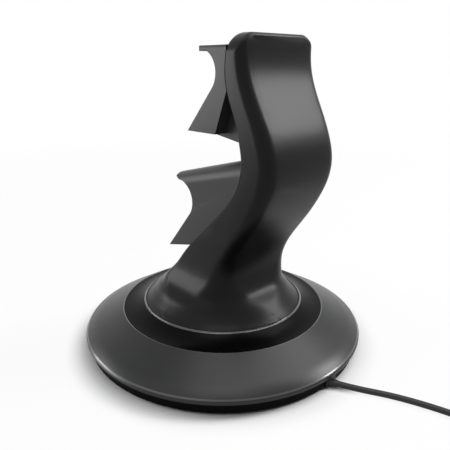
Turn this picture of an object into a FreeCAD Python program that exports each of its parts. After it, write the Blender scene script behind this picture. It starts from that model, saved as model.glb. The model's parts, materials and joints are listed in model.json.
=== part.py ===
import FreeCAD, Part
import math
import os
from FreeCAD import Vector

# A charging dock for two game controllers, in millimetres.
# The origin is under the middle of the round base, +Z is up and the controllers plug in from -Y.

# Base cover: a cone with a rim band and a recess for the channel ring and the spine
base_radius = 78.0
rim_height = 9.1
rim_band = 1.9
rim_round = 0.6
rim_wall = 2.1
recess_radius = 56.4
recess_height = 20.7
recess_floor = 16.6
recess_edge_round = 0.5
cover_wall = 2.2
wire_hole_radius = 9.0

# Base tray: the black skirt and floor
skirt_radius = 75.7
skirt_height = 7.5
tray_wall = 2.0
tray_floor = 2.0
tray_edge = 0.6

# Rubber feet, half sunk in pockets of the tray
foot_radius = 6.5
foot_proud = 0.8
foot_sunk = 0.7
foot_circle = 63.0
foot_count = 6
foot_play = 0.1

# Channel ring between the cover and the foot of the spine
channel_foot_gap = 0.35
channel_inner_lip = 0.9
channel_lip_rise = 0.2
channel_outer_lip = 0.6
channel_sag = 0.9
channel_wall = 1.8
channel_play = 0.15

# Spine levels: height, front, back, half width, front corner and back corner.
# The heights are for a lower nest at drawn_nest_height and stretch with it above the foot.
foot_top = 36.8
drawn_nest_height = 83.8
drawn_levels = [
    (24.0, -43.5, 43.5, 43.5, 43.1, 43.1),
    (25.0, -42.4, 42.4, 42.4, 42.0, 42.0),
    (26.2, -41.1, 41.1, 41.1, 40.7, 40.7),
    (27.8, -39.6, 39.6, 39.6, 39.0, 39.0),
    (29.6, -37.7, 37.9, 38.0, 37.0, 37.0),
    (31.6, -34.8, 35.8, 36.4, 33.0, 34.0),
    (34.0, -29.0, 32.8, 33.6, 24.0, 28.0),
    (36.8, -23.0, 30.0, 30.4, 13.0, 21.0),
    (40.6, -18.0, 28.1, 28.0, 6.4, 15.0),
    (45.0, -12.9, 27.2, 26.2, 3.8, 11.0),
    (50.0, -8.4, 27.4, 25.2, 2.5, 9.0),
    (56.0, -3.4, 29.0, 24.7, 1.8, 7.5),
    (67.0, 8.0, 35.4, 24.6, 1.8, 6.5),
    (78.0, 19.6, 43.5, 24.6, 1.8, 6.5),
    (88.0, 29.6, 49.7, 24.6, 1.8, 6.5),
    (97.0, 35.8, 53.8, 24.6, 1.8, 6.5),
    (107.0, 38.4, 55.4, 24.6, 1.8, 6.5),
    (117.0, 37.0, 53.3, 24.6, 1.8, 6.5),
    (127.0, 34.0, 48.8, 24.6, 1.8, 6.0),
    (137.0, 29.6, 43.6, 24.6, 1.8, 5.5),
    (147.0, 27.6, 39.7, 24.6, 1.8, 5.0),
    (156.0, 28.4, 38.4, 24.6, 1.8, 4.5),
    (163.2, 30.4, 37.9, 24.6, 1.8, 4.0),
]
spine_wall = 2.3
spine_corner = 10.0
spine_top_round = 1.7
spine_corner_overrun = 0.2
collar_step = 1.0
collar_wall = 2.2
collar_overlap = 0.6

# Front panel, set into the front of the spine between two of its levels
panel_wall = 2.0
panel_recess = 0.4
panel_play = 0.15
panel_border = 3.4
levels_below_panel_count = 8
levels_above_panel_count = 1
panel_window_radius = 4.5

# Cradles, in their own frame: origin on the axis of the nest, +Y back, +Z up
cradle_half_width = 24.6
cradle_wall = 2.2
cradle_play = 0.15
cradle_root = 5.0
nest_radius = 9.8
lip_reach = 2.5
lip_thickness = 2.4
lip_corner = 3.0
lip_corner_overrun = 0.2
shoulder_overrun = 0.05
cradle_edge_round = 0.6

# Upper cradle, level, with a narrower neck behind its side plates
nest_spacing = 63.0
upper_nest_back = 12.5
upper_tilt = 0.0
upper_lip_rise = 11.5
upper_nest_drop = 27.0
upper_nest_start = 66.0
upper_arm_slope = 48.5
upper_shoulder = 1.6
upper_plate_foot = 9.6
upper_plate_join = 17.2
upper_plate_join_drop = 7.7
neck_half_width = 18.0
neck_start = 2.5
neck_drop = 28.0
neck_slope = 8.4
neck_headroom = 10.0

# Lower cradle, tilted so that its controller hangs lower at the front
lower_nest_back = -5.8
lower_nest_height = 83.8
lower_tilt = 14.5
lower_lip_rise = 14.0
lower_nest_drop = 24.5
lower_nest_start = 80.0
lower_arm_slope = 35.0
lower_shoulder = 7.0
lower_roof_climb = 13.0

# Charging plug of a cradle, its carrier and its board
plug_width = 6.9
plug_height = 1.85
plug_reach = 6.4
plug_seat = 3.0
plug_drop = 3.0
plug_corner = 0.6
plug_shell_wall = 0.3
plug_hollow = 4.6
plug_tongue_gap = 0.25
plug_tongue_inset = 0.45
carrier_width = 11.0
carrier_height = 6.0
carrier_round = 1.5
carrier_proud = 0.8
carrier_play = 0.15
flange_margin = 1.5
flange_thickness = 0.9
board_width = 38.0
board_height = 12.0
board_rise = 4.5
board_thickness = 1.2
board_post_offset = 15.5
board_post_radius = 2.4
light_width = 3.0
light_height = 1.0
light_pipe_radius = 1.5
light_pipe_flange = 2.4
light_pipe_flange_height = 0.8
light_pipe_gap = 0.1

# Screws: head radius, head height, shank radius and length
base_screw = (3.0, 1.6, 1.3, 9.0)
spine_screw = (2.8, 1.8, 1.3, 8.0)
cradle_screw = (2.2, 1.4, 1.1, 14.0)
board_screw = (1.9, 1.1, 0.8, 4.0)
screw_hole_play = 0.3
screw_pilot_play = 0.05
screw_boss_wall = 2.0

# Where the screws stand
base_screw_circle = 66.0
base_screw_count = 4
spine_screw_circle = 37.4
spine_screw_count = 4
spine_boss_height = 8.4
cradle_screw_offset = 12.0
upper_screw_drop = 16.0
lower_screw_drop = 14.0
panel_boss_depth = 8.0

# Main board on posts in the tray, inside the ballast ring
main_board_width = 46.0
main_board_depth = 36.0
main_board_thickness = 1.6
main_post_height = 2.6
main_post_radius = 2.4
main_screw_x = 19.0
main_screw_y = 14.0
ballast_inner_radius = 30.5
ballast_outer_radius = 56.0
ballast_thickness = 4.0
chip_size = 7.0
chip_height = 1.2
chip_spacing = 16.0
capacitor_radius = 3.0
capacitor_height = 5.5
capacitor_spacing = 9.0
socket_width = 6.0
socket_depth = 4.0
socket_height = 4.0
socket_offset = 6.0
socket_forward = 5.0

# Wire bundles inside the spine
wire_radius = 0.9
wire_end_gap = 0.2
wire_offset = 3.0
lower_wire_route = [(6, 24), (9.5, 38), (12.3, 52)]
lower_wire_rise = 11.0
upper_wire_route = [(6, 24), (11, 40), (21, 58), (34, 74), (44, 88), (48, 104), (46, 119), (40.5, 131.5)]
upper_wire_run = 8.0
wire_start = 5.0

# USB lead, with its strain relief in the skirt and its free length wound up behind
lead_diameter = 3.0
relief_angle = 92.0
relief_width = 8.0
relief_depth = 7.0
relief_height = 5.4
relief_play = 0.15
relief_collar_radius = 2.1
relief_collar_tip = 1.75
relief_collar_length = 3.6
relief_lead_height = 2.3
lead_route = [
    (-8.6, 87.8, 1.75),
    (-15.8, 100.0, 1.6),
    (-21.4, 113.6, 1.55),
    (-25.6, 128.0, 1.6),
    (-28.4, 141.5, 1.65),
    (-29.6, 154.0, 2.0),
]
coil_radius = 16.5
coil_centre = (-49.2, 152.1)
coil_columns = 3
coil_rows = 4
coil_pitch = 3.15
coil_base = 0.5
coil_round = 1.4
tie_width = 5.0
tie_wall = 0.5
tie_angle = 250.0
tail_route = [
    (-52.6, 171.5, 11.5),
    (-63.0, 169.4, 10.6),
    (-73.0, 164.6, 7.2),
    (-80.0, 156.6, 4.0),
    (-83.6, 147.2, 4.0),
]

# Plug at the far end of the lead
grip_width = 15.6
grip_height = 8.0
grip_length = 21.0
grip_round = 2.2
grip_taper_length = 9.0
grip_taper_radius = 3.0
usb_width = 12.0
usb_height = 4.5
usb_length = 12.5
usb_sunk = 4.0
usb_wall = 0.35
usb_tongue_height = 1.8
usb_tongue_short = 1.5

# What follows from the values above
upper_nest_height = lower_nest_height + nest_spacing
output = "parts"
across = Vector(1, 0, 0)
upwards = Vector(0, 0, 1)


def arc_points(centre, radius, start, end):
    """Start, middle and end of an arc in a plane, as pairs; the angles are in degrees."""
    middle = (start + end) / 2
    turns = [math.radians(angle) for angle in (start, middle, end)]
    return [(centre[0] + radius * math.cos(t), centre[1] + radius * math.sin(t)) for t in turns]


def outline(steps, place):
    """A face from steps, each a corner (one pair) or an arc (three); place maps a pair to a point."""
    edges = []
    here = place(*steps[-1][-1])
    for step in steps:
        start = place(*step[0])
        if start.distanceToPoint(here) > 1e-6:
            edges.append(Part.LineSegment(here, start).toShape())
        here = place(*step[-1])
        if len(step) == 3:
            edges.append(Part.Arc(start, place(*step[1]), here).toShape())
    return Part.Face(Part.Wire(edges))


def corners(*pairs):
    """Steps of straight corners."""
    return [[pair] for pair in pairs]


def side_solid(steps, half_width):
    """A side profile of (y, z) pairs, drawn out to both sides."""
    face = outline(steps, lambda y, z: Vector(-half_width, y, z))
    return face.extrude(across * (2 * half_width))


def turned_solid(steps):
    """A section of (radius, height) pairs, turned about the vertical axis."""
    face = outline(steps, lambda r, z: Vector(r, 0, z))
    return face.revolve(Vector(0, 0, 0), upwards, 360)


def box(low, high):
    """A box between two corners."""
    size = [high[i] - low[i] for i in range(3)]
    return Part.makeBox(size[0], size[1], size[2], Vector(*low))


def post(x, y, bottom, radius, height):
    """An upright cylinder."""
    return Part.makeCylinder(radius, height, Vector(x, y, bottom))


def rounded_bar(low, high, radius, axis):
    """A box whose four long edges, along one axis, are rounded."""
    bar = box(low, high)
    long_edges = []
    for edge in bar.Edges:
        run = edge.Vertexes[1].Point - edge.Vertexes[0].Point
        if abs(run.normalize().dot(axis)) > 0.99:
            long_edges.append(edge)
    return bar.makeFillet(radius, long_edges)


def ring_places(radius, count, first):
    """Evenly spaced places round the vertical axis."""
    places = []
    for i in range(count):
        turn = math.radians(first + 360 * i / count)
        places.append((radius * math.cos(turn), radius * math.sin(turn)))
    return places


def joined(first, others):
    """One solid from a solid and what grows out of it."""
    return first.fuse(others).removeSplitter()


def screw(kind, seat, direction):
    """A pan head screw: its head's underside is at seat and its shank runs along direction."""
    head_radius, head_height, shank_radius, length = kind
    head = Part.makeCylinder(head_radius, head_height, seat, direction * -1)
    shank = Part.makeCylinder(shank_radius, length, seat, direction)
    top = seat - direction * head_height
    slot = Part.makeCylinder(head_radius * 0.4, head_height * 0.5, top, direction)
    return head.fuse(shank).cut(slot)


def screw_hole(kind, seat, direction):
    """The hole that a screw's shank passes through freely."""
    return Part.makeCylinder(kind[2] + screw_hole_play, kind[3], seat, direction)


def screw_pilot(kind, seat, direction):
    """The hole that a screw's thread bites into."""
    return Part.makeCylinder(kind[2] + screw_pilot_play, kind[3] + kind[2], seat, direction)


def boss_radius(kind):
    """The outside of a boss for a screw."""
    return kind[2] + screw_boss_wall


def at_height(drawn):
    """A drawn height in the dock: kept in the foot, stretched up to the lower nest and moved above it."""
    if drawn <= foot_top:
        return drawn
    if drawn >= drawn_nest_height:
        return drawn + lower_nest_height - drawn_nest_height
    share = (drawn - foot_top) / (drawn_nest_height - foot_top)
    return foot_top + share * (lower_nest_height - foot_top)


def spine_levels():
    """The levels of the spine at their heights in the dock."""
    return [(at_height(level[0]),) + level[1:] for level in drawn_levels]


def level_ring(level, grow):
    """A level of the spine as a closed ring, grown outwards or, below zero, inwards."""
    height, front, back, half, front_round, back_round = level
    marks = [
        (half + grow, back + grow, back_round + grow, 0),
        (-half - grow, back + grow, back_round + grow, 90),
        (-half - grow, front - grow, front_round + grow, 180),
        (half + grow, front - grow, front_round + grow, 270),
    ]
    steps = []
    for x, y, radius, start in marks:
        radius = max(radius, 0.4)
        centre = (x - math.copysign(radius, x), y - radius if start < 180 else y + radius)
        steps.append(arc_points(centre, radius, start, start + 90))
    return outline(steps, lambda x, y: Vector(x, y, height)).OuterWire


def spine_loft(grow, levels):
    """The spine's form between levels as one solid."""
    return Part.makeLoft([level_ring(level, grow) for level in levels], True, False)


def lowered(level, drop):
    """A level moved down."""
    return (level[0] - drop,) + level[1:]


def spine_front(height):
    """Where the front of the spine is at a height."""
    levels = spine_levels()
    for low, high in zip(levels, levels[1:]):
        if height <= high[0]:
            break
    share = (height - low[0]) / (high[0] - low[0])
    return low[1] + share * (high[1] - low[1])


def spine_head():
    """What the rounded top corners of the spine leave, as a block seen from behind."""
    top, _, _, half, *_ = spine_levels()[-1]
    middle = (half - spine_corner, top - spine_corner)
    radius = spine_corner + spine_corner_overrun
    wide = 2 * base_radius
    steps = corners((-wide, 0), (wide, 0), (wide, middle[1]))
    steps.append(arc_points(middle, radius, 0, 90))
    steps.append(arc_points((-middle[0], middle[1]), radius, 90, 180))
    steps += corners((-wide, middle[1]))
    face = outline(steps, lambda x, z: Vector(x, -base_radius, z))
    return face.extrude(Vector(0, 2 * base_radius, 0))


def top_rounded(solid):
    """The spine with the rim of its top rounded."""
    top = spine_levels()[-1][0]
    rim = []
    for edge in solid.Edges:
        middle = edge.valueAt((edge.FirstParameter + edge.LastParameter) / 2)
        along = edge.tangentAt((edge.FirstParameter + edge.LastParameter) / 2)
        if middle.z > top - spine_corner and abs(along.y) < 0.55:
            rim.append(edge)
    return solid.makeFillet(spine_top_round, rim)


def panel_body(front_gap, thickness, half_width):
    """A slab that follows the front of the spine from the panel's lowest level to its highest."""
    wires = []
    last = len(drawn_levels) - levels_above_panel_count
    for height, front, *rest in spine_levels()[levels_below_panel_count:last]:
        near = front + front_gap
        far = near + thickness
        steps = corners((-half_width, near), (half_width, near), (half_width, far), (-half_width, far))
        wires.append(outline(steps, lambda x, y: Vector(x, y, height)).OuterWire)
    return Part.makeLoft(wires, True, False)


def panel_half_width():
    """Half the width of the front panel."""
    return drawn_levels[-1][3] - panel_border - panel_play


def in_cradle(shape, which):
    """Moves a shape from a cradle's own frame to the dock's."""
    shape.rotate(Vector(0, 0, 0), across, which["tilt"])
    shape.translate(Vector(0, which["back"], which["height"]))
    return shape


def to_cradle(which, y, z):
    """A point of the dock's side view in a cradle's own frame."""
    turn = math.radians(which["tilt"])
    dy = y - which["back"]
    dz = z - which["height"]
    return (dy * math.cos(turn) + dz * math.sin(turn), dz * math.cos(turn) - dy * math.sin(turn))


def from_cradle(which, x, y, z):
    """A point of a cradle's own frame in the dock's."""
    turn = math.radians(which["tilt"])
    back = which["back"] + y * math.cos(turn) - z * math.sin(turn)
    height = which["height"] + y * math.sin(turn) + z * math.cos(turn)
    return Vector(x, back, height)


def root_points(which, bottom, top):
    """Corners just inside the spine's front, from one height of the dock up to another."""
    heights = [level[0] for level in spine_levels() if bottom + 2 < level[0] < top - 2]
    heights = [bottom] + heights + [top]
    return [to_cradle(which, spine_front(z) + cradle_root, z) for z in heights]


def nest_steps(which, wall):
    """The nest's curve from the arm's foot up to the lip; wall moves it into the material."""
    radius = nest_radius + wall
    end = which["slope"] - 90
    start = which["start"]
    if wall:
        start = math.degrees(math.asin(min(0.995, (which["rise"] - wall) / radius)))
    curve = arc_points((0, 0), radius, end, start)
    drop = which["drop"] - wall
    slope = math.radians(which["slope"])
    foot = (curve[0][0] - (drop + curve[0][1]) / math.tan(slope), -drop)
    return [[foot], curve]


def cradle_outside(which):
    """The side profile of a cradle, with its root inside the spine."""
    nose = (lip_thickness / 2 - lip_reach, which["rise"] - lip_thickness / 2)
    steps = nest_steps(which, 0)
    steps.append(arc_points(nose, lip_thickness / 2, 270, 90))
    steps += corners(*reversed(which["root"]))
    steps += which["under"]
    return steps


def cradle_inside(which):
    """The side profile of the hollow in a cradle."""
    steps = nest_steps(which, cradle_wall)
    roof = which["root"][-1]
    steps += corners((roof[0] + cradle_root, which["rise"] - cradle_wall))
    steps += which["under_inside"]
    return steps


def front_outline(which, inset):
    """A cradle seen from the front, as a long bar with rounded shoulders."""
    half = cradle_half_width - inset
    top = which["rise"] + shoulder_overrun - inset
    radius = max(which["shoulder"] - inset, 0.3)
    low = -2 * which["drop"]
    steps = corners((-half, low), (half, low))
    steps.append(arc_points((half - radius, top - radius), radius, 0, 90))
    steps.append(arc_points((radius - half, top - radius), radius, 90, 180))
    face = outline(steps, lambda x, z: Vector(x, -base_radius, z))
    return face.extrude(Vector(0, 3 * base_radius, 0))


def lip_corner_cutter(which, side):
    """What is cut from one end of the lip to round its corner, seen from above."""
    outer = cradle_half_width
    middle = (side * (outer - lip_corner), lip_corner - lip_reach - lip_corner_overrun)
    high = which["rise"] + 1
    low = high - lip_thickness - 2
    block = box((0, -lip_reach - 1, low), (lip_corner + 1, lip_corner - lip_reach, high))
    block.translate(Vector(outer - lip_corner if side > 0 else -outer - 1, 0, 0))
    return block.cut(post(middle[0], middle[1], low, lip_corner, lip_thickness + 2))


def side_rounded(which, solid):
    """A cradle with the front edges of its side plates rounded."""
    chosen = []
    for edge in solid.Edges:
        ends = [edge.firstVertex().Point, edge.lastVertex().Point]
        middle = edge.valueAt((edge.FirstParameter + edge.LastParameter) / 2)
        on_side = all(abs(abs(point.x) - cradle_half_width) < 1e-4 for point in ends + [middle])
        if on_side and middle.y < nest_radius and middle.z > 0.1 - which["drop"]:
            chosen.append(edge)
    return solid.makeFillet(cradle_edge_round, chosen)


def upper_cradle():
    """Sizes and frame of the upper cradle."""
    which = {
        "back": upper_nest_back,
        "height": upper_nest_height,
        "tilt": upper_tilt,
        "rise": upper_lip_rise,
        "drop": upper_nest_drop,
        "start": upper_nest_start,
        "slope": upper_arm_slope,
        "shoulder": upper_shoulder,
        "screw_drop": upper_screw_drop,
    }
    join = (upper_plate_join, -upper_plate_join_drop)
    foot = (upper_plate_foot, -upper_nest_drop)
    run = (join[0] - foot[0]) / (join[1] - foot[1])
    shift = cradle_wall * math.sqrt(1 + run * run)
    inner_foot = (foot[0] + run * cradle_wall - shift, cradle_wall - upper_nest_drop)
    bottom = upper_nest_height - upper_plate_join_drop
    which["root"] = root_points(which, bottom, upper_nest_height + upper_lip_rise)
    which["under"] = corners(join, foot)
    inner_join = (join[0] - shift, join[1])
    which["under_inside"] = corners((join[0] + 3 * cradle_root, join[1]), inner_join, inner_foot)
    return which


def lower_cradle():
    """Sizes and frame of the lower cradle."""
    which = {
        "back": lower_nest_back,
        "height": lower_nest_height,
        "tilt": lower_tilt,
        "rise": lower_lip_rise,
        "drop": lower_nest_drop,
        "start": lower_nest_start,
        "slope": lower_arm_slope,
        "shoulder": lower_shoulder,
        "screw_drop": lower_screw_drop,
    }
    bottom = lower_nest_height - lower_nest_drop + cradle_wall
    top = lower_nest_height + lower_lip_rise + lower_roof_climb
    which["root"] = root_points(which, bottom, top)
    which["root"][0] = (which["root"][0][0], -lower_nest_drop)
    which["root"][-1] = (which["root"][-1][0], lower_lip_rise)
    which["under"] = []
    which["under_inside"] = corners((which["root"][0][0] + cradle_root, cradle_wall - lower_nest_drop))
    return which


def neck_block(inset):
    """The neck behind the upper cradle's side plates, down to its sloping underside."""
    fall = math.tan(math.radians(neck_slope))
    far = upper_plate_join + 3 * cradle_root
    drop = neck_drop - inset
    steps = corners(
        (neck_start + inset, -drop),
        (far, -drop - fall * (far - neck_start)),
        (far, -neck_headroom),
        (neck_start + inset, -neck_headroom),
    )
    return side_solid(steps, neck_half_width - inset)


def plug_box(grow, front, back):
    """The outline of the charging plug's metal tip, between two places along the insertion axis."""
    half = plug_width / 2 + grow
    top = plug_height / 2 + grow
    cut = plug_corner
    steps = corners((half - cut, -top), (half, cut - top), (half, top))
    steps += corners((-half, top), (-half, cut - top), (cut - half, -top))
    face = outline(steps, lambda x, z: Vector(x, front, z - plug_drop))
    return face.extrude(Vector(0, back - front, 0))


def nest_surface():
    """How far back the nest's surface is on the axis of the plug."""
    return math.sqrt(nest_radius**2 - plug_drop**2)


def carrier_front():
    """The front of the plug's carrier, just proud of the nest."""
    return nest_surface() - carrier_proud


def board_front():
    """The front of a plug board, behind the carrier's flange."""
    return nest_radius + cradle_wall + carrier_play + flange_thickness


def board_posts():
    """Axes of the two screws that hold a plug board."""
    return [(-board_post_offset, -plug_drop), (board_post_offset, -plug_drop)]


def cradle_shell(which):
    """A cradle: lip, nest, side plates and the bosses that carry its board and its screws."""
    wide = 2 * cradle_half_width
    outside = side_solid(cradle_outside(which), wide).common(front_outline(which, 0))
    inside = side_solid(cradle_inside(which), wide).common(front_outline(which, cradle_wall))
    outside = side_rounded(which, outside)
    for side in (-1, 1):
        outside = outside.cut(lip_corner_cutter(which, side))
    solid = outside
    if "neck" in which:
        solid = outside.fuse(neck_block(0))
        inside = inside.fuse(neck_block(cradle_wall))
    shell = solid.cut(inside)
    bosses = []
    for x, z in board_posts():
        start = Vector(x, 0, z)
        bosses.append(Part.makeCylinder(board_post_radius, board_front(), start, Vector(0, 1, 0)))
    for side in (-1, 1):
        start = Vector(side * cradle_screw_offset, -which["drop"], -which["screw_drop"])
        length = 4 * which["drop"]
        bosses.append(Part.makeCylinder(boss_radius(cradle_screw), length, start, Vector(0, 1, 0)))
    for boss in bosses:
        shell = shell.fuse(boss.common(solid))
    half_width = carrier_width / 2 + carrier_play
    half_height = carrier_height / 2 + carrier_play
    low = (-half_width, 0, -plug_drop - half_height)
    high = (half_width, board_front() - flange_thickness, half_height - plug_drop)
    shell = shell.cut(rounded_bar(low, high, carrier_round, Vector(0, 1, 0)))
    for x, z in board_posts():
        seat = Vector(x, board_front() - board_screw[3] - board_screw[2], z)
        shell = shell.cut(screw_pilot(board_screw, seat, Vector(0, 1, 0)))
    pipe = post(0, light_pipe_back(), 0, light_pipe_radius + light_pipe_gap, 2 * which["rise"])
    shell = shell.cut(pipe)
    shell = in_cradle(shell, which)
    for side in (-1, 1):
        seat = cradle_screw_seat(which, side)
        shell = shell.cut(screw_pilot(cradle_screw, seat, screw_direction(which)))
    shell = shell.cut(spine_loft(cradle_play, spine_levels()))
    return largest(shell).removeSplitter()


def largest(shape):
    """The largest solid of a shape, without the scraps that a cut leaves behind."""
    return max(shape.Solids, key=lambda solid: solid.Volume)


def screw_direction(which):
    """Which way a cradle's screws run: forwards, out of the spine into the cradle."""
    turn = math.radians(which["tilt"])
    return Vector(0, -math.cos(turn), -math.sin(turn))


def panel_crossing(which):
    """How far back in a cradle's frame its screws cross the front of the spine."""
    y = 0.0
    while True:
        point = from_cradle(which, 0, y, -which["screw_drop"])
        if point.y >= spine_front(point.z):
            return y
        y += 0.05


def cradle_screw_seat(which, side):
    """Under the head of a cradle screw, on its boss inside the spine."""
    back = panel_crossing(which) + panel_boss_depth
    return from_cradle(which, side * cradle_screw_offset, back, -which["screw_drop"])


def light_pipe_back():
    """How far back the charge light and its pipe stand: over the plug board's edge."""
    return board_front() + board_thickness / 2


def plug_carrier(which):
    """The moulded block that holds a charging plug in the nest."""
    half_width = carrier_width / 2
    half_height = carrier_height / 2
    low = (-half_width, carrier_front(), -plug_drop - half_height)
    high = (half_width, board_front(), half_height - plug_drop)
    body = rounded_bar(low, high, carrier_round - carrier_play, Vector(0, 1, 0))
    low = (-half_width - flange_margin, board_front() - flange_thickness, low[2] - flange_margin)
    high = (half_width + flange_margin, board_front(), high[2] + flange_margin)
    body = joined(body, rounded_bar(low, high, carrier_round, Vector(0, 1, 0)))
    pocket = plug_box(plug_shell_wall / 6, carrier_front() - 1, carrier_front() + plug_seat)
    return in_cradle(body.cut(pocket), which)


def charging_plug(which):
    """The metal tip of a charging plug, open at its front."""
    front = carrier_front() - plug_reach
    body = plug_box(0, front, carrier_front() + plug_seat)
    hollow = plug_box(-plug_shell_wall, front - 1, front + plug_hollow)
    return in_cradle(body.cut(hollow), which)


def plug_tongue(which):
    """The insulating tongue with the contacts inside the metal tip."""
    front = carrier_front() - plug_reach
    half_width = plug_width / 2 - plug_shell_wall - plug_tongue_inset
    half_height = plug_height / 2 - plug_shell_wall - plug_tongue_gap
    low = (-half_width, front + plug_tongue_gap, -plug_drop - half_height)
    high = (half_width, front + plug_hollow, half_height - plug_drop)
    return in_cradle(box(low, high), which)


def plug_board(which):
    """The small board behind a nest, with the charge light on its top edge."""
    half = board_width / 2
    low = (-half, board_front(), board_rise - board_height)
    high = (half, board_front() + board_thickness, board_rise)
    board = rounded_bar(low, high, 1.0, Vector(0, 1, 0))
    for x, z in board_posts():
        start = Vector(x, board_front() - 1, z)
        radius = board_screw[2] + screw_hole_play
        board = board.cut(Part.makeCylinder(radius, board_thickness + 2, start, Vector(0, 1, 0)))
    return in_cradle(board, which)


def charge_light(which):
    """The light on the top edge of a plug board."""
    half = light_width / 2
    depth = board_thickness / 2
    low = (-half, light_pipe_back() - depth, board_rise)
    high = (half, light_pipe_back() + depth, board_rise + light_height)
    return in_cradle(box(low, high), which)


def light_pipe(which):
    """The clear rod that brings the charge light up to the lip."""
    bottom = board_rise + light_height + light_pipe_gap
    rod = post(0, light_pipe_back(), bottom, light_pipe_radius, which["rise"] - bottom)
    under = which["rise"] - cradle_wall - light_pipe_flange_height - light_pipe_gap
    flange = post(0, light_pipe_back(), under, light_pipe_flange, light_pipe_flange_height)
    return in_cradle(joined(rod, flange), which)


def board_screws(which):
    """The two screws of a plug board."""
    screws = []
    for x, z in board_posts():
        seat = from_cradle(which, x, board_front() + board_thickness, z)
        screws.append(screw(board_screw, seat, screw_direction(which)))
    return screws


def base_cover():
    """The cone, its rim band and its recess, with bosses for the base screws."""
    slope = math.atan2(recess_height - rim_height, base_radius - recess_radius)
    fall = math.tan(slope)
    under = cover_wall / math.cos(slope)
    inner = recess_radius + cover_wall
    rim_inside = base_radius - rim_wall
    steps = corners(
        (rim_inside, rim_height - rim_band),
        (base_radius, rim_height - rim_band),
        (base_radius, rim_height - rim_round),
        (base_radius - rim_round, rim_height + rim_round * fall),
        (recess_radius + recess_edge_round, recess_height - recess_edge_round * fall),
        (recess_radius, recess_height - recess_edge_round),
        (recess_radius, recess_floor),
        (wire_hole_radius, recess_floor),
        (wire_hole_radius, recess_floor - cover_wall),
        (inner, recess_floor - cover_wall),
        (inner, rim_height + (base_radius - inner) * fall - under),
        (rim_inside, rim_height + rim_wall * fall - under),
    )
    cover = turned_solid(steps)
    floor_top = foot_proud + tray_floor
    room = turned_solid(
        corners(
            (inner, floor_top),
            (rim_inside, floor_top),
            (rim_inside, rim_height + rim_wall * fall - under / 2),
            (inner, rim_height + (base_radius - inner) * fall - under / 2),
        )
    )
    for x, y in ring_places(base_screw_circle, base_screw_count, 45):
        boss = post(x, y, floor_top, boss_radius(base_screw), recess_height)
        cover = cover.fuse(boss.common(room))
        cover = cover.cut(screw_pilot(base_screw, Vector(x, y, foot_proud + base_screw[1]), upwards))
    for x, y in ring_places(spine_screw_circle, spine_screw_count, 45):
        cover = cover.cut(screw_hole(spine_screw, Vector(x, y, recess_floor - cover_wall), upwards))
    return cover.removeSplitter()


def channel_ring():
    """The sloping ring between the cover and the foot of the spine, with a lip round the foot."""
    rim, _, _, foot_radius_at_rim, *_ = drawn_levels[0]
    inner = foot_radius_at_rim + channel_foot_gap
    outer = recess_radius - channel_play
    top = recess_height - recess_edge_round
    half_lip = channel_inner_lip / 2
    lip_height = rim + channel_lip_rise - half_lip
    inside = (inner + channel_inner_lip, lip_height)
    outside = (outer - channel_outer_lip, top)
    middle = ((inside[0] + outside[0]) / 2, (inside[1] + outside[1]) / 2 - channel_sag)
    steps = corners((inner, recess_floor), (inner + channel_wall, recess_floor))
    steps += corners((inner + channel_wall, inside[1] - 2 * channel_wall))
    steps += corners((outer - channel_wall, top - channel_wall), (outer - channel_wall, recess_floor))
    steps += corners((outer, recess_floor), (outer, top))
    steps.append([outside, middle, inside])
    steps.append(arc_points((inner + half_lip, lip_height), half_lip, 0, 180))
    return turned_solid(steps)


def relief_frame(shape):
    """Turns a shape made along +Y from the middle of the base to where the lead leaves it."""
    shape.rotate(Vector(0, 0, 0), upwards, relief_angle - 90)
    return shape


def relief_notch(play):
    """The notch in the tray's skirt and floor that holds the strain relief."""
    half = relief_width / 2 + play
    near = skirt_radius - relief_depth - play
    low = (-half, near, foot_proud - play)
    high = (half, skirt_radius + 5, relief_height + play)
    return relief_frame(box(low, high))


def base_tray():
    """The black skirt and floor, with posts for the main board."""
    top = foot_proud + skirt_height - foot_proud
    floor_top = foot_proud + tray_floor
    inside = skirt_radius - tray_wall
    steps = corners(
        (0, foot_proud),
        (skirt_radius - tray_edge, foot_proud),
        (skirt_radius, foot_proud + tray_edge),
        (skirt_radius, top),
        (inside, top),
        (inside, floor_top),
        (0, floor_top),
    )
    tray = turned_solid(steps)
    for x, y in ring_places(foot_circle, foot_count, 0):
        tray = tray.cut(post(x, y, 0, foot_radius + foot_play, foot_proud + foot_sunk))
    for x, y in ring_places(base_screw_circle, base_screw_count, 45):
        sink = post(x, y, 0, base_screw[0] + screw_hole_play, foot_proud + base_screw[1])
        tray = tray.cut(sink)
        tray = tray.cut(screw_hole(base_screw, Vector(x, y, foot_proud), upwards))
    for x, y in main_board_places():
        height = main_post_height + tray_floor / 2
        tray = tray.fuse(post(x, y, floor_top - tray_floor / 2, main_post_radius, height))
        seat = Vector(x, y, floor_top + main_post_height)
        tray = tray.cut(screw_pilot(board_screw, seat + upwards * main_board_thickness, upwards * -1))
    return tray.cut(relief_notch(relief_play)).removeSplitter()


def main_board_places():
    """The four corners of the main board where it is screwed down."""
    return [(x, y) for x in (-main_screw_x, main_screw_x) for y in (-main_screw_y, main_screw_y)]


def rubber_feet():
    """The pads under the tray."""
    height = foot_proud + foot_sunk
    return [post(x, y, 0, foot_radius, height) for x, y in ring_places(foot_circle, foot_count, 0)]


def base_screws():
    """The screws that hold the tray to the cover."""
    height = foot_proud + base_screw[1]
    places = ring_places(base_screw_circle, base_screw_count, 45)
    return [screw(base_screw, Vector(x, y, height), upwards) for x, y in places]


def spine_screws():
    """The screws that hold the spine's foot to the cover."""
    height = recess_floor - cover_wall
    places = ring_places(spine_screw_circle, spine_screw_count, 45)
    return [screw(spine_screw, Vector(x, y, height), upwards) for x, y in places]


def main_board_top():
    """Height of the top of the main board."""
    return foot_proud + tray_floor + main_post_height + main_board_thickness


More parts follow.
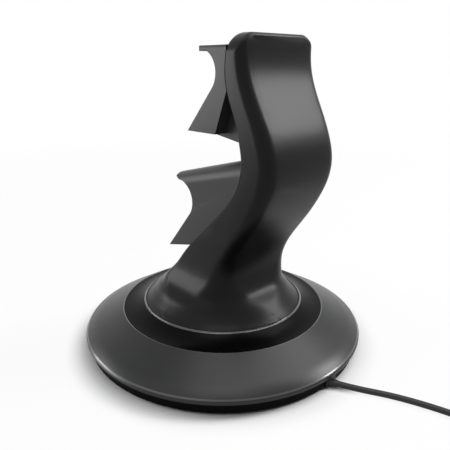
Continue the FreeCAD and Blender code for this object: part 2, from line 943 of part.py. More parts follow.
def main_board():
    """The charging board in the base."""
    bottom = main_board_top() - main_board_thickness
    low = (-main_board_width / 2, -main_board_depth / 2, bottom)
    high = (main_board_width / 2, main_board_depth / 2, main_board_top())
    board = rounded_bar(low, high, 2.0, upwards)
    for x, y in main_board_places():
        hole = post(x, y, bottom - 1, board_screw[2] + screw_hole_play, main_board_thickness + 2)
        board = board.cut(hole)
    return board


def main_board_screws():
    """The screws of the main board."""
    top = main_board_top()
    return [screw(board_screw, Vector(x, y, top), upwards * -1) for x, y in main_board_places()]


def charging_chips():
    """The two chips that control the charging."""
    top = main_board_top()
    half = chip_size / 2
    chips = []
    for side in (-1, 1):
        x = side * chip_spacing / 2
        chips.append(box((x - half, -chip_size - half, top), (x + half, -half, top + chip_height)))
    return chips


def capacitors():
    """The two capacitors on the main board."""
    top = main_board_top()
    places = [(side * capacitor_spacing, chip_size) for side in (-1, 1)]
    return [post(x, y, top, capacitor_radius, capacitor_height) for x, y in places]


def wire_sockets():
    """The two sockets that the wire bundles plug into."""
    top = main_board_top()
    sockets = []
    for side in (-1, 1):
        x = side * socket_offset / 2
        half = socket_width / 2 - socket_offset / 2 + 2.2
        low = (x - half, socket_forward - socket_depth / 2, top)
        high = (x + half, socket_forward + socket_depth / 2, top + socket_height)
        sockets.append(box(low, high))
    return sockets


def ballast_ring():
    """The steel ring that keeps the dock standing with two controllers out in front."""
    low = foot_proud + tray_floor
    steel = post(0, 0, low, ballast_outer_radius, ballast_thickness)
    return steel.cut(post(0, 0, low, ballast_inner_radius, ballast_thickness))


def spine_rear_shell():
    """The back, sides, top and round foot of the spine, open at the front for the panel."""
    head = spine_head()
    levels = spine_levels()
    outside = top_rounded(spine_loft(0, levels).common(head))
    first = levels[0]
    inner_levels = [lowered(first, spine_wall)] + levels[1:-1] + [lowered(levels[-1], spine_wall)]
    hollow_head = head.copy()
    hollow_head.translate(Vector(0, 0, -spine_wall))
    inside = spine_loft(-spine_wall, inner_levels).common(hollow_head)
    shell = outside.cut(inside)
    collar_outer = first[3] - collar_step
    collar_inner = collar_outer - collar_wall
    bottom = recess_floor
    top = first[0] + collar_overlap
    collar = post(0, 0, bottom, collar_outer, top - bottom)
    shell = shell.fuse(collar.cut(post(0, 0, bottom, collar_inner, top - bottom)))
    for x, y in ring_places(spine_screw_circle, spine_screw_count, 45):
        shell = shell.fuse(post(x, y, bottom, boss_radius(spine_screw), spine_boss_height))
        pilot_seat = Vector(x, y, recess_floor - cover_wall)
        shell = shell.cut(screw_pilot(spine_screw, pilot_seat, upwards))
    opening_half = panel_half_width() + panel_play
    opening = panel_body(-spine_wall, 2 * spine_wall + panel_wall, opening_half)
    return largest(shell.cut(opening)).removeSplitter()


def spine_front_panel():
    """The panel that closes the front of the spine and carries the cradles."""
    panel = panel_body(panel_recess, panel_wall, panel_half_width())
    middle = panel_recess + panel_wall / 2
    behind = panel_body(middle, 4 * panel_boss_depth, panel_half_width())
    for which in (upper_cradle(), lower_cradle()):
        direction = screw_direction(which)
        for side in (-1, 1):
            seat = cradle_screw_seat(which, side)
            boss = Part.makeCylinder(boss_radius(cradle_screw), 2 * panel_boss_depth, seat, direction)
            panel = panel.fuse(boss.common(behind))
            panel = panel.cut(screw_hole(cradle_screw, seat, direction))
    for route in (lower_wire_path(), upper_wire_path()):
        run = route[-1] - route[-2]
        start = route[-2] - run
        panel = panel.cut(Part.makeCylinder(panel_window_radius, 2 * run.Length, start, run))
    return largest(panel).removeSplitter()


def cradle_screws(which):
    """The two screws that hold a cradle to the front panel."""
    direction = screw_direction(which)
    return [screw(cradle_screw, cradle_screw_seat(which, side), direction) for side in (-1, 1)]


def tube(points, radius, name):
    """A round cord along straight runs joined by tangent arcs; prints the radii of the arcs."""
    edges = []
    radii = []
    here = points[0]
    for before, corner, after in zip(points, points[1:], points[2:]):
        arriving = (corner - before).normalize()
        leaving = (after - corner).normalize()
        half_turn = arriving.getAngle(leaving) / 2
        cut = 0.45 * min(corner.distanceToPoint(before), corner.distanceToPoint(after))
        radii.append(round(cut / math.tan(half_turn), 1))
        start = corner - arriving * cut
        end = corner + leaving * cut
        inwards = (leaving - arriving).normalize()
        middle = corner + inwards * (cut / math.sin(half_turn) - cut / math.tan(half_turn))
        edges.append(Part.LineSegment(here, start).toShape())
        edges.append(Part.Arc(start, middle, end).toShape())
        here = end
    edges.append(Part.LineSegment(here, points[-1]).toShape())
    path = Part.Wire(edges)
    first = (points[1] - points[0]).normalize()
    ring = Part.Wire([Part.makeCircle(radius, points[0], first)])
    solid = path.makePipeShell([ring], True, True)
    share = solid.Volume / (math.pi * radius**2 * path.Length)
    print(name, "length", round(path.Length, 1), "radii", radii, "volume share", round(share, 4))
    return solid


def lower_wire_path():
    """The way from the main board up to the lower edge of the lower plug board."""
    which = lower_cradle()
    points = [(wire_start, main_board_top() + socket_height + wire_end_gap)] + lower_wire_route
    route = [Vector(-wire_offset, y, at_height(z)) for y, z in points]
    edge = board_rise - board_height - wire_end_gap
    back = board_front() + board_thickness / 2
    route.append(from_cradle(which, -wire_offset, back, edge - lower_wire_rise))
    route.append(from_cradle(which, -wire_offset, back, edge))
    return route


def upper_wire_path():
    """The way from the main board up the spine to the back of the upper plug board."""
    which = upper_cradle()
    points = [(wire_start, main_board_top() + socket_height + wire_end_gap)] + upper_wire_route
    route = [Vector(wire_offset, y, at_height(z)) for y, z in points]
    back = board_front() + board_thickness + wire_end_gap
    route.append(from_cradle(which, wire_offset, back + upper_wire_run, -plug_drop))
    route.append(from_cradle(which, wire_offset, back, -plug_drop))
    return route


def relief_exit():
    """Where the lead leaves the strain relief's block, and which way."""
    turn = math.radians(relief_angle)
    root = Vector(skirt_radius * math.cos(turn), skirt_radius * math.sin(turn), relief_lead_height)
    return root, (Vector(*lead_route[0]) - root).normalize()


def strain_relief():
    """The moulded block in the tray's notch, with a short tapered collar round the lead."""
    half = relief_width / 2
    low = (-half, skirt_radius - relief_depth, foot_proud)
    high = (half, skirt_radius + 0.6, relief_height)
    block = relief_frame(rounded_bar(low, high, 1.0, Vector(0, 1, 0)))
    root, direction = relief_exit()
    start = root - direction * relief_collar_length / 2
    length = relief_collar_length * 3 / 2
    collar = Part.makeCone(relief_collar_radius, relief_collar_tip, length, start, direction)
    return joined(block, collar)


def usb_lead():
    """The lead from the strain relief to the coil."""
    root, direction = relief_exit()
    start = root + direction * relief_collar_length
    points = [start] + [Vector(*point) for point in lead_route]
    return tube(points, lead_diameter / 2, "usb_lead").cut(lead_coil())


def coil_section(grow):
    """Half the width of the coil's bundle, its bottom and its top."""
    half = (coil_columns - 1) * coil_pitch / 2 + lead_diameter / 2
    height = (coil_rows - 1) * coil_pitch + lead_diameter
    return half + grow, coil_base - grow, coil_base + height + grow


def ring_bundle(grow, radius):
    """A ring with the coil's rounded section, standing on its own axis."""
    half, bottom, top = coil_section(grow)
    left = coil_radius - half
    right = coil_radius + half
    steps = [
        arc_points((right - radius, bottom + radius), radius, 270, 360),
        arc_points((right - radius, top - radius), radius, 0, 90),
        arc_points((left + radius, top - radius), radius, 90, 180),
        arc_points((left + radius, bottom + radius), radius, 180, 270),
    ]
    return turned_solid(steps)


def lead_coil():
    """The outer shape of the wound-up lead."""
    coil = ring_bundle(0, coil_round)
    coil.translate(Vector(coil_centre[0], coil_centre[1], 0))
    return coil


def coil_tie():
    """The tie round the coil."""
    band = ring_bundle(tie_wall, coil_round + tie_wall).cut(ring_bundle(0, coil_round))
    slice_box = box((0, -tie_width / 2, -1), (3 * coil_radius, tie_width / 2, 30))
    tie = band.common(slice_box)
    tie.rotate(Vector(0, 0, 0), upwards, tie_angle)
    tie.translate(Vector(coil_centre[0], coil_centre[1], 0))
    return tie


def lead_tail():
    """The short end of the lead from the coil to its plug."""
    points = [Vector(*point) for point in tail_route]
    return tube(points, lead_diameter / 2, "lead_tail").cut(lead_coil())


def at_tail(shape):
    """Moves a shape made along +Y, from the origin, to the end of the lead."""
    last = Vector(*tail_route[-1])
    before = Vector(*tail_route[-2])
    heading = math.degrees(math.atan2(last.y - before.y, last.x - before.x))
    shape.rotate(Vector(0, 0, 0), upwards, heading - 90)
    shape.translate(Vector(last.x, last.y, grip_height / 2))
    return shape


def usb_grip():
    """The moulded grip of the far plug, with its tapered strain relief."""
    tip = lead_diameter / 2 + 0.35
    cone = Part.makeCone(tip, grip_taper_radius, grip_taper_length, Vector(0, 0, 0), Vector(0, 1, 0))
    low = (-grip_width / 2, grip_taper_length, -grip_height / 2)
    high = (grip_width / 2, grip_taper_length + grip_length, grip_height / 2)
    grip = joined(cone, rounded_bar(low, high, grip_round, Vector(0, 1, 0)))
    front = grip_taper_length + grip_length
    low = (-usb_width / 2, front - usb_sunk, -usb_height / 2)
    high = (usb_width / 2, front + 1, usb_height / 2)
    return at_tail(grip.cut(box(low, high)))


def usb_shell():
    """The metal shell of the far plug."""
    front = grip_taper_length + grip_length
    low = (-usb_width / 2, front - usb_sunk, -usb_height / 2)
    high = (usb_width / 2, front + usb_length, usb_height / 2)
    shell = box(low, high)
    inner_low = (low[0] + usb_wall, front, low[2] + usb_wall)
    inner_high = (high[0] - usb_wall, high[1] + 1, high[2] - usb_wall)
    return at_tail(shell.cut(box(inner_low, inner_high)))


def usb_tongue():
    """The insulating tongue inside the far plug's shell."""
    front = grip_taper_length + grip_length
    low = (-usb_width / 2 + usb_wall, front, usb_height / 2 - usb_wall - usb_tongue_height)
    high = (usb_width / 2 - usb_wall, front + usb_length - usb_tongue_short, usb_height / 2 - usb_wall)
    return at_tail(box(low, high))


def save(name, shape):
    """Writes one piece, or a group of like pieces, to its file."""
    if isinstance(shape, list):
        shape = Part.makeCompound(shape)
    shape.exportStep(os.path.join(output, name + ".step"))


def main():
    os.makedirs(output, exist_ok=True)
    upper = upper_cradle()
    upper["neck"] = True
    lower = lower_cradle()
    save("base_cover", base_cover())
    save("channel_ring", channel_ring())
    save("base_tray", base_tray())
    save("rubber_feet", rubber_feet())
    save("base_screws", base_screws())
    save("ballast_ring", ballast_ring())
    save("main_board", main_board())
    save("main_board_screws", main_board_screws())
    save("charging_chips", charging_chips())
    save("capacitors", capacitors())
    save("wire_sockets", wire_sockets())
    save("spine_rear_shell", spine_rear_shell())
    save("spine_front_panel", spine_front_panel())
    save("spine_screws", spine_screws())
    for name, which in (("upper", upper), ("lower", lower)):
        save(name + "_cradle_shell", cradle_shell(which))
        save(name + "_plug_carrier", plug_carrier(which))
        save(name + "_charging_plug", charging_plug(which))
        save(name + "_plug_tongue", plug_tongue(which))
        save(name + "_plug_board", plug_board(which))
        save(name + "_charge_light", charge_light(which))
        save(name + "_light_pipe", light_pipe(which))
        save(name + "_board_screws", board_screws(which))
        save(name + "_cradle_screws", cradle_screws(which))
    save("lower_wires", tube(lower_wire_path(), wire_radius, "lower_wires"))
    save("upper_wires", tube(upper_wire_path(), wire_radius, "upper_wires"))
    save("strain_relief", strain_relief())
    save("usb_lead", usb_lead())
    save("lead_coil", lead_coil())
    save("coil_tie", coil_tie())
    save("lead_tail", lead_tail())
    save("usb_grip", usb_grip())
    save("usb_shell", usb_shell())
    save("usb_tongue", usb_tongue())


main()
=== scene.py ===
import json
import math

import bmesh
import bpy
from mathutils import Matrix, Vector


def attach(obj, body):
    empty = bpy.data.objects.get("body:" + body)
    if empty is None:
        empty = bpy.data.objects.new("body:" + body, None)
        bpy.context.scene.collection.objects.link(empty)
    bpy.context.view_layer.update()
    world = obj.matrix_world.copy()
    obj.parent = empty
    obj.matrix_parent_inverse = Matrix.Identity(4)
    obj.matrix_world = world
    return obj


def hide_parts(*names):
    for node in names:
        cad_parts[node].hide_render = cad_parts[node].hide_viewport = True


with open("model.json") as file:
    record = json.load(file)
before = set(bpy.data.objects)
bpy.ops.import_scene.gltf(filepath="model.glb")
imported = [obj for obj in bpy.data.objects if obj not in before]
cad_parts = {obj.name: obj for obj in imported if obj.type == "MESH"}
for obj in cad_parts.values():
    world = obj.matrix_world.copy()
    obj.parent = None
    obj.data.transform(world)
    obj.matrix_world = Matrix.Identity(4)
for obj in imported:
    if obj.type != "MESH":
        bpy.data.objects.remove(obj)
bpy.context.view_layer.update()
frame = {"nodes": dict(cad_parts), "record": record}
dock = frame["nodes"]

# Camera: behind the dock, a little above it and to its right
camera_place = (0.1713, 0.1902, 0.1502)
camera_drop = 18.32
camera_heading = 137.693
camera_lens = 38.8
camera_sensor = 36.0
camera_nearest = 0.005

# The lead: its size, where it leaves its strain relief and its route over the floor
lead_diameter = 0.003
lead_exit = (-0.00423, 0.07888, 0.00215)
lead_route = [
    (-0.0086, 0.0878, 0.00175),
    (-0.0158, 0.1000, 0.0016),
    (-0.0214, 0.1136, 0.00155),
    (-0.0256, 0.1280, 0.0016),
    (-0.0284, 0.1415, 0.00165),
    (-0.0296, 0.1540, 0.0020),
]

# Its coil: it is wound in rows, and in columns counted in pitches out from the middle one;
# it starts at an angle in degrees, and a step across or up takes a share of a turn
coil_centre = (-0.0492, 0.1521)
coil_radius = 0.0165
coil_lowest = 0.0020
coil_pitch = 0.00315
coil_columns = (1, 0, -1)
coil_rows = 4
coil_start = 5.5
coil_turns = 10.26
coil_points_per_turn = 16
coil_step = 0.25

# Its tail: from the coil to the plug
tail_route = [
    (-0.0526, 0.1715, 0.0115),
    (-0.0630, 0.1694, 0.0106),
    (-0.0730, 0.1646, 0.0072),
    (-0.0800, 0.1566, 0.0040),
    (-0.0836, 0.1472, 0.0040),
]

# Round edges with a polished clear coat, the channel's lip edge also lighter in colour as a painted
# highlight: their radius and half their width, and how smooth they are
cover_edges = [(0.0567, 0.0004), (0.0773, 0.0003)]
channel_edges = [(0.0442, 0.0009)]
edge_roughness = 0.15

# Floor: its radius, where its even white sets in and where it is complete, and its share between them
floor_radius = 3.0
floor_near = (0.078, 0.091)
floor_far = (0.25, 0.9)
floor_lift = 0.88

# Light: the surround's strength, and for each softbox its name, heading and height in degrees,
# distance and width in metres and power in watts
surround = 0.10
lamp_target = (0.0, 0.0, 0.08)
lamps = [
    ("back_softbox", 144.0, 31.0, 1.3, 0.36, 8.0),
    ("high_softbox", 154.0, 57.0, 1.3, 0.80, 6.5),
    ("top_softbox", 48.0, 76.0, 1.3, 0.80, 4.5),
    ("side_softbox", -46.0, 6.0, 1.3, 0.80, 12.0),
    ("front_softbox", 0.0, 45.0, 1.3, 1.00, 1.5),
]


def add_camera():
    """The camera at the viewing angle of the picture."""
    data = bpy.data.cameras.new("picture_camera")
    data.lens = camera_lens
    data.sensor_width = camera_sensor
    data.clip_start = camera_nearest
    camera = bpy.data.objects.new("picture_camera", data)
    camera.location = camera_place
    camera.rotation_euler = (math.radians(90 - camera_drop), 0, math.radians(camera_heading))
    bpy.context.collection.objects.link(camera)
    bpy.context.scene.camera = camera


def coil_places():
    """Radius and height of each place in the coil's columns and rows, in the order of winding."""
    places = []
    for row in range(coil_rows):
        columns = coil_columns if row % 2 == 0 else coil_columns[::-1]
        height = coil_lowest + coil_pitch * row
        places += [(coil_radius + coil_pitch * column, height) for column in columns]
    return places


def coil_route():
    """Points of the wound-up lead, which steps across or up from each place to the next."""
    places = coil_places()
    leaving = [1 - coil_step]
    for before, here, after in zip(places, places[1:], places[2:]):
        straight_on = (before[0] == here[0]) == (here[0] == after[0])
        leaving.append(leaving[-1] + 1 - (0 if straight_on else coil_step))
    route = []
    for count in range(1, int(coil_turns * coil_points_per_turn)):
        turn = count / coil_points_per_turn
        radius, height = places[0]
        for start, place in zip(leaving, places[1:]):
            share = min(max((turn - start) / coil_step, 0), 1)
            radius += share * (place[0] - radius)
            height += share * (place[1] - height)
        angle = math.radians(coil_start) + 2 * math.pi * turn
        x = coil_centre[0] + radius * math.cos(angle)
        y = coil_centre[1] + radius * math.sin(angle)
        route.append((x, y, height))
    return route


def add_lead():
    """The whole lead as one smooth line from its strain relief to its plug; its points give its radius."""
    points = [lead_exit] + lead_route + coil_route() + tail_route
    curve = bpy.data.curves.new("lead", "CURVE")
    curve.dimensions = "3D"
    curve.bevel_depth = 1.0
    curve.bevel_resolution = 4
    curve.use_fill_caps = True
    curve.resolution_u = 4
    spline = curve.splines.new("NURBS")
    spline.points.add(len(points) - 1)
    for target, point in zip(spline.points, points):
        target.co = (*point, 1)
        target.radius = lead_diameter / 2
    spline.order_u = 3
    spline.use_endpoint_u = True
    spline.use_smooth = True
    lead = bpy.data.objects.new("lead", curve)
    bpy.context.collection.objects.link(lead)
    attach(lead, "root")
    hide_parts("usb_lead", "lead_coil", "lead_tail")
    return lead


# Rays by which the camera sees a thing: straight, in a gloss or through a clear piece
seen_rays = ["Is Camera Ray", "Is Glossy Ray", "Is Transmission Ray"]


class Signal:
    """One output in a finish. Arithmetic on it adds Math nodes."""

    def __init__(self, finish, socket):
        self.finish = finish
        self.socket = socket

    def __add__(self, other):
        return self.finish.maths("ADD", self, other)

    __radd__ = __add__

    def __mul__(self, other):
        return self.finish.maths("MULTIPLY", self, other)

    __rmul__ = __mul__

    def __sub__(self, other):
        return self.finish.maths("SUBTRACT", self, other)

    def __lt__(self, other):
        return self.finish.maths("LESS_THAN", self, other)


class Finish:
    """A material, or the world, under construction."""

    def __init__(self, owner):
        self.material = bpy.data.materials.new(owner) if isinstance(owner, str) else owner
        self.material.use_nodes = True
        self.tree = self.material.node_tree
        self.shader = self.tree.nodes.get("Principled BSDF")

    def put(self, socket, value):
        """Sets a socket, or links a signal to it."""
        if isinstance(value, Signal):
            self.tree.links.new(value.socket, socket)
        else:
            socket.default_value = value

    def node(self, kind, settings, values, output=0):
        """Adds a node: its settings first, then its sockets by name or number."""
        made = self.tree.nodes.new(kind)
        for name, value in settings.items():
            setattr(made, name, value)
        for key, value in values.items():
            self.put(made.inputs[key], value)
        return Signal(self, made.outputs[output])

    def maths(self, operation, first, second):
        """Adds a Math node on two signals or numbers."""
        return self.node("ShaderNodeMath", {"operation": operation}, {0: first, 1: second})

    def place(self):
        """Object coordinates, in metres."""
        return self.node("ShaderNodeTexCoord", {}, {}, "Object")

    def length(self, vector):
        """Distance from the origin."""
        return self.node("ShaderNodeVectorMath", {"operation": "LENGTH"}, {0: vector}, "Value")

    def noise(self, scale, detail=2.0, roughness=0.5):
        """Soft irregular variation from 0 to 1; scale is in repeats for each metre."""
        sockets = {"Vector": self.place(), "Scale": scale, "Detail": detail, "Roughness": roughness}
        return self.node("ShaderNodeTexNoise", {}, sockets, "Fac")

    def seen_ray(self):
        """1 for what the camera sees, straight or through gloss and glass, and 0 for scattered light."""
        clamped = {"operation": "ADD", "use_clamp": True}
        total = 0.0
        for name in seen_rays:
            ray = self.node("ShaderNodeLightPath", {}, {}, name)
            total = self.node("ShaderNodeMath", clamped, {0: total, 1: ray})
        return total

    def turned_edges(self, edges):
        """1 on round edges about the upright axis, else 0; each edge is a radius and half its width."""
        level = {0: self.place(), 1: (1, 1, 0)}
        flattened = self.node("ShaderNodeVectorMath", {"operation": "MULTIPLY"}, level, "Vector")
        radius = self.length(flattened)
        return sum(self.maths("ABSOLUTE", radius - middle, 0) < reach for middle, reach in edges)

    def blend(self, share, first, second):
        """A colour between two others."""
        settings = {"data_type": "RGBA"}
        sockets = {0: share, 6: first, 7: second}
        return self.node("ShaderNodeMix", settings, sockets, 2)

    def bump(self, height, depth):
        """Surface relief; its depth is in metres."""
        sockets = {"Height": height, "Distance": depth}
        self.put(self.shader.inputs["Normal"], self.node("ShaderNodeBump", {}, sockets, "Normal"))

    def set(self, **sockets):
        """Sets or links sockets of the shader; an underscore stands for a space."""
        for name, value in sockets.items():
            self.put(self.shader.inputs[name.replace("_", " ")], value)
        return self


def rgb(*parts):
    """A colour as a socket takes it."""
    return (*parts, 1.0)


def grey(level):
    """A neutral colour."""
    return (level, level, level)


def moulded_plastic(name, dark, light, roughness, spread, grain, gloss=0.3, polished_edges=()):
    """Moulded plastic, clouded from dark to light, with a fine sparked grain and any edges polished.

    The roughness strays over its spread with the clouds, the grain is a depth in metres, and gloss is
    the strength of the reflections.
    """
    finish = Finish(name)
    cloud = finish.noise(scale=38.0, detail=3.0)
    fine = finish.noise(scale=2600.0, detail=2.0, roughness=0.6)
    finish.set(
        Base_Color=finish.blend(cloud, rgb(*dark), rgb(*light)),
        Roughness=roughness - spread / 2 + spread * cloud + 0.06 * (fine - 0.5),
        Specular_IOR_Level=gloss,
    )
    if polished_edges:
        finish.set(Coat_Weight=finish.turned_edges(polished_edges), Coat_Roughness=edge_roughness)
    finish.bump(fine, depth=grain)
    return finish.material


def polished_plastic(name, colour, painted_highlight, polished_edges):
    """Glossy black plastic with faint waviness, a fine mottle and polished edges whose colour is made
    lighter as a painted highlight.
    """
    finish = Finish(name)
    cloud = finish.noise(scale=22.0)
    mottle = finish.noise(scale=900.0, detail=4.0, roughness=0.7)
    edges = finish.turned_edges(polished_edges)
    finish.set(
        # On the edges the base colour turns lighter: a painted highlight, beside the clear coat that
        # really glosses them
        Base_Color=finish.blend(edges, rgb(*colour), rgb(*painted_highlight)),
        Roughness=0.22 + 0.06 * cloud + 0.04 * mottle,
        Specular_IOR_Level=0.05,
        Coat_Weight=edges,
        Coat_Roughness=edge_roughness,
    )
    finish.bump(cloud, depth=0.00004)
    return finish.material


def rubber(name, colour, roughness):
    """Soft matt rubber or cable jacket with a fine skin."""
    finish = Finish(name)
    skin = finish.noise(scale=1500.0, detail=3.0, roughness=0.6)
    cloud = finish.noise(scale=60.0)
    paler = [2.2 * part for part in colour]
    finish.set(
        Base_Color=finish.blend(cloud, rgb(*colour), rgb(*paler)),
        Roughness=roughness + 0.1 * (skin - 0.5),
        Specular_IOR_Level=0.35,
    )
    finish.bump(skin, depth=0.00002)
    return finish.material


def metal(name, colour, roughness, streak):
    """Plated or raw metal with rolled streaks, given in repeats for each metre along each axis."""
    finish = Finish(name)
    mapped = finish.node("ShaderNodeMapping", {}, {"Vector": finish.place(), "Scale": streak})
    grain = finish.node("ShaderNodeTexNoise", {}, {"Vector": mapped, "Scale": 1.0, "Detail": 3.0}, "Fac")
    darker = [0.78 * part for part in colour]
    finish.set(
        Base_Color=finish.blend(grain, rgb(*darker), rgb(*colour)),
        Metallic=1.0,
        Roughness=roughness - 0.06 + 0.12 * grain,
    )
    finish.bump(grain, depth=0.00001)
    return finish.material


def solder_mask(name):
    """Green board with copper tracks just under its lacquer."""
    finish = Finish(name)
    bricks = finish.node(
        "ShaderNodeTexBrick",
        {"offset": 0.37, "squash": 0.6, "squash_frequency": 3},
        {
            "Vector": finish.place(),
            "Scale": 260.0,
            "Mortar Size": 0.06,
            "Brick Width": 1.9,
            "Row Height": 0.45,
        },
        "Fac",
    )
    fine = finish.noise(scale=500.0)
    finish.set(
        Base_Color=finish.blend(bricks, rgb(0.008, 0.075, 0.030), rgb(0.020, 0.130, 0.060)),
        Roughness=0.30 + 0.12 * fine,
    )
    finish.bump(bricks, depth=0.00003)
    return finish.material


def light_resin(name):
    """The small yellow-white body of a charge light."""
    finish = Finish(name)
    cloud = finish.noise(scale=900.0)
    finish.set(
        Base_Color=finish.blend(cloud, rgb(0.72, 0.66, 0.38), rgb(0.84, 0.80, 0.60)),
        Roughness=0.25 + 0.1 * cloud,
    )
    finish.bump(cloud, depth=0.00002)
    return finish.material


def clear_plastic(name):
    """The clear acrylic of the light pipes."""
    finish = Finish(name)
    cloud = finish.noise(scale=300.0)
    finish.set(
        Base_Color=rgb(0.88, 0.91, 0.93),
        Roughness=0.06 + 0.06 * cloud,
        Transmission_Weight=0.85,
        IOR=1.49,
    )
    finish.bump(cloud, depth=0.00001)
    return finish.material


def make_finishes():
    """The material for each slot of the record."""
    return {
        "base_cover_plastic": moulded_plastic(
            "cover_black",
            dark=(0.0040, 0.0043, 0.0047),
            light=(0.0060, 0.0064, 0.0070),
            roughness=0.34,
            spread=0.08,
            grain=0.000008,
            gloss=0.33,
            polished_edges=cover_edges,
        ),
        "channel_gloss": polished_plastic(
            "channel_black",
            colour=(0.0015, 0.0015, 0.0018),
            # A light grey on the lip edge: a painted highlight
            painted_highlight=(0.075, 0.075, 0.076),
            polished_edges=channel_edges,
        ),
        "tray_plastic": moulded_plastic(
            "tray_black",
            dark=grey(0.0012),
            light=grey(0.0020),
            roughness=0.55,
            spread=0.10,
            grain=0.000020,
            gloss=0.04,
        ),
        "foot_rubber": rubber("foot_rubber", grey(0.012), roughness=0.75),
        "screw_steel": metal(
            "screw_zinc", (0.42, 0.42, 0.44), roughness=0.32, streak=(700.0, 90.0, 700.0)
        ),
        "ballast_steel": metal(
            "ballast_steel", (0.24, 0.235, 0.23), roughness=0.50, streak=(120.0, 1200.0, 120.0)
        ),
        "board_green": solder_mask("board_green"),
        "chip_black": moulded_plastic(
            "chip_black",
            dark=grey(0.012),
            light=grey(0.018),
            roughness=0.60,
            spread=0.10,
            grain=0.000030,
        ),
        "capacitor_metal": metal(
            "capacitor_aluminium", (0.62, 0.63, 0.65), roughness=0.30, streak=(900.0, 900.0, 100.0)
        ),
        "socket_white": moulded_plastic(
            "socket_white",
            dark=(0.66, 0.64, 0.58),
            light=(0.74, 0.72, 0.66),
            roughness=0.45,
            spread=0.10,
            grain=0.000015,
            gloss=0.50,
        ),
        "spine_plastic": moulded_plastic(
            "spine_black",
            dark=(0.0022, 0.0023, 0.0025),
            light=(0.0034, 0.0036, 0.0039),
            roughness=0.33,
            spread=0.07,
            grain=0.000008,
            gloss=0.14,
        ),
        "panel_plastic": moulded_plastic(
            "panel_black",
            dark=(0.006, 0.006, 0.0065),
            light=(0.009, 0.009, 0.0095),
            roughness=0.46,
            spread=0.08,
            grain=0.000020,
            gloss=0.22,
        ),
        "cradle_plastic": moulded_plastic(
            "cradle_black",
            dark=(0.018, 0.018, 0.019),
            light=(0.024, 0.024, 0.025),
            roughness=0.40,
            spread=0.08,
            grain=0.000012,
            gloss=0.25,
        ),
        "carrier_plastic": moulded_plastic(
            "carrier_black",
            dark=(0.006, 0.006, 0.0065),
            light=(0.009, 0.009, 0.0095),
            roughness=0.50,
            spread=0.10,
            grain=0.000015,
        ),
        "plug_metal": metal(
            "plug_nickel", (0.66, 0.66, 0.68), roughness=0.24, streak=(900.0, 120.0, 900.0)
        ),
        "plug_insulator": moulded_plastic(
            "plug_insulator",
            dark=grey(0.014),
            light=grey(0.020),
            roughness=0.50,
            spread=0.10,
            grain=0.000010,
        ),
        "light_white": light_resin("charge_light"),
        "light_clear": clear_plastic("light_pipe_clear"),
        "wire_red": moulded_plastic(
            "wire_red",
            dark=(0.30, 0.012, 0.012),
            light=(0.38, 0.020, 0.018),
            roughness=0.42,
            spread=0.08,
            grain=0.000010,
            gloss=0.50,
        ),
        "lead_black": rubber("lead_black", (0.006, 0.006, 0.0065), roughness=0.42),
        "tie_plastic": moulded_plastic(
            "tie_black",
            dark=grey(0.012),
            light=grey(0.020),
            roughness=0.50,
            spread=0.10,
            grain=0.000020,
        ),
        "grip_plastic": moulded_plastic(
            "grip_black",
            dark=(0.009, 0.009, 0.0095),
            light=(0.013, 0.013, 0.0135),
            roughness=0.42,
            spread=0.08,
            grain=0.000015,
        ),
        "tongue_white": moulded_plastic(
            "tongue_white",
            dark=(0.72, 0.72, 0.70),
            light=(0.78, 0.78, 0.76),
            roughness=0.40,
            spread=0.10,
            grain=0.000010,
            gloss=0.50,
        ),
    }


# Pieces whose own mesh is shown smoothed: node, corner angle kept sharp, bevel width and bevel angle
smoothed = [
    ("spine_rear_shell", 32, 0.00035, 40),
    ("spine_front_panel", 32, 0.00030, 40),
    ("upper_cradle_shell", 32, 0.00035, 40),
    ("lower_cradle_shell", 32, 0.00035, 40),
    ("base_cover", 30, 0.00020, 50),
    ("channel_ring", 30, 0.00015, 50),
    ("base_tray", 30, 0.00020, 50),
    ("usb_grip", 32, 0, 0),
    ("strain_relief", 32, 0, 0),
    ("coil_tie", 32, 0, 0),
    ("usb_shell", 30, 0, 0),
    ("upper_plug_carrier", 32, 0, 0),
    ("lower_plug_carrier", 32, 0, 0),
    ("upper_charging_plug", 32, 0, 0),
    ("lower_charging_plug", 32, 0, 0),
    ("upper_light_pipe", 32, 0, 0),
    ("lower_light_pipe", 32, 0, 0),
    ("rubber_feet", 32, 0, 0),
    ("base_screws", 32, 0, 0),
    ("spine_screws", 32, 0, 0),
    ("ballast_ring", 32, 0, 0),
    ("capacitors", 32, 0, 0),
    ("lower_wires", 60, 0, 0),
    ("upper_wires", 60, 0, 0),
]

# Points nearer than this in metres become one, and faces that turn by fewer degrees become one flat face
merge_distance = 0.000004
level_angle = 0.05


def paint(piece, material):
    """Gives a whole piece one material."""
    piece.data.materials.clear()
    piece.data.materials.append(material)


def slot_of(node):
    """The material slot that the record gives a node."""
    for row in frame["record"]["subparts"]:
        if row["node"] == node:
            return row["material_slot"]
    raise ValueError(node + " has no slot in the record")


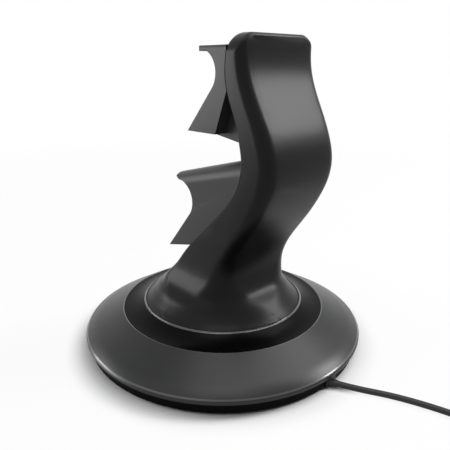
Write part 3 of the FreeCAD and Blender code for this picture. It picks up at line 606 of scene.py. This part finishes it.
def smooth_copy(node, sharp_angle, width, bevel_angle):
    """A copy of a solid with its points merged, its curves shaded smooth and its corners eased."""
    mesh = dock[node].data.copy()
    mesh.name = node + "_skin"
    form = bmesh.new()
    form.from_mesh(mesh)
    bmesh.ops.remove_doubles(form, verts=form.verts, dist=merge_distance)
    bmesh.ops.dissolve_degenerate(form, edges=form.edges, dist=merge_distance)
    flat_turn = math.radians(level_angle)
    flat_edges = [e for e in form.edges if len(e.link_faces) == 2 and e.calc_face_angle() < flat_turn]
    bmesh.ops.dissolve_edges(form, edges=flat_edges, use_verts=False, use_face_split=False)
    for edge in form.edges:
        turn = edge.calc_face_angle(math.pi)
        edge.smooth = turn < math.radians(sharp_angle)
    for face in form.faces:
        face.smooth = True
    form.to_mesh(mesh)
    form.free()
    piece = bpy.data.objects.new(node + "_skin", mesh)
    bpy.context.collection.objects.link(piece)
    if width:
        ease = piece.modifiers.new("eased_corners", "BEVEL")
        ease.width = width
        ease.segments = 2
        ease.limit_method = "ANGLE"
        ease.angle_limit = math.radians(bevel_angle)
        ease.harden_normals = True
        ease.use_clamp_overlap = True
    return piece


def add_skins(finishes):
    """Shows each smoothed solid in its finish, in place of the plain one."""
    for node, sharp_angle, width, bevel_angle in smoothed:
        piece = smooth_copy(node, sharp_angle, width, bevel_angle)
        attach(piece, "root")
        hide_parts(node)
        paint(piece, finishes[slot_of(node)])


def add_floor():
    """A plain pale floor that runs out into an even white."""
    form = bmesh.new()
    bmesh.ops.create_circle(form, cap_ends=True, segments=96, radius=floor_radius)
    mesh = bpy.data.meshes.new("floor")
    form.to_mesh(mesh)
    form.free()
    floor = bpy.data.objects.new("floor", mesh)
    bpy.context.collection.objects.link(floor)
    finish = Finish("floor_white")
    cloud = finish.noise(scale=3.0)
    finish.set(
        Base_Color=finish.blend(cloud, rgb(0.93, 0.93, 0.93), rgb(0.94, 0.94, 0.94)),
        Roughness=0.9,
        Specular_IOR_Level=0.1,
    )
    distance = finish.length(finish.place())
    share = finish.seen_ray()
    for (start, end), lowest in ((floor_near, 0.0), (floor_far, floor_lift)):
        reach = {"Value": distance, "From Min": start, "From Max": end, "To Min": lowest}
        share = share * finish.node("ShaderNodeMapRange", {"interpolation_type": "SMOOTHSTEP"}, reach)
    even = finish.node("ShaderNodeEmission", {}, {"Color": rgb(1.0, 1.0, 1.0), "Strength": 1.0})
    lit = Signal(finish, finish.shader.outputs["BSDF"])
    both = finish.node("ShaderNodeMixShader", {}, {0: share, 1: lit, 2: even})
    finish.put(finish.tree.nodes["Material Output"].inputs["Surface"], both)
    paint(floor, finish.material)


def add_lamp(name, heading, height, distance, width, power):
    """A square softbox aimed at the dock."""
    data = bpy.data.lights.new(name, "AREA")
    data.shape = "SQUARE"
    data.size = width
    data.energy = power
    lamp = bpy.data.objects.new(name, data)
    turn = math.radians(heading)
    rise = math.radians(height)
    ray = Vector((math.cos(rise) * math.cos(turn), math.cos(rise) * math.sin(turn), math.sin(rise)))
    lamp.location = Vector(lamp_target) + distance * ray
    lamp.rotation_euler = ray.to_track_quat("Z", "Y").to_euler()
    bpy.context.collection.objects.link(lamp)


def add_light():
    """Studio softboxes and a white surround."""
    for lamp in lamps:
        add_lamp(*lamp)
    world = bpy.data.worlds.new("white_surround")
    bpy.context.scene.world = world
    finish = Finish(world)
    scattered, seen = [
        finish.node("ShaderNodeBackground", {}, {"Color": rgb(1.0, 1.0, 1.0), "Strength": strength})
        for strength in (surround, 1.0)
    ]
    both = finish.node("ShaderNodeMixShader", {}, {0: finish.seen_ray(), 1: scattered, 2: seen})
    finish.put(finish.tree.nodes["World Output"].inputs["Surface"], both)


def main():
    """Sets up the camera, the dock in its finishes, the floor and the light."""
    bpy.context.scene.view_settings.view_transform = "Standard"
    add_camera()
    lead = add_lead()
    finishes = make_finishes()
    paint(lead, finishes["lead_black"])
    for node, piece in dock.items():
        paint(piece, finishes[slot_of(node)])
    add_skins(finishes)
    add_floor()
    add_light()


main()
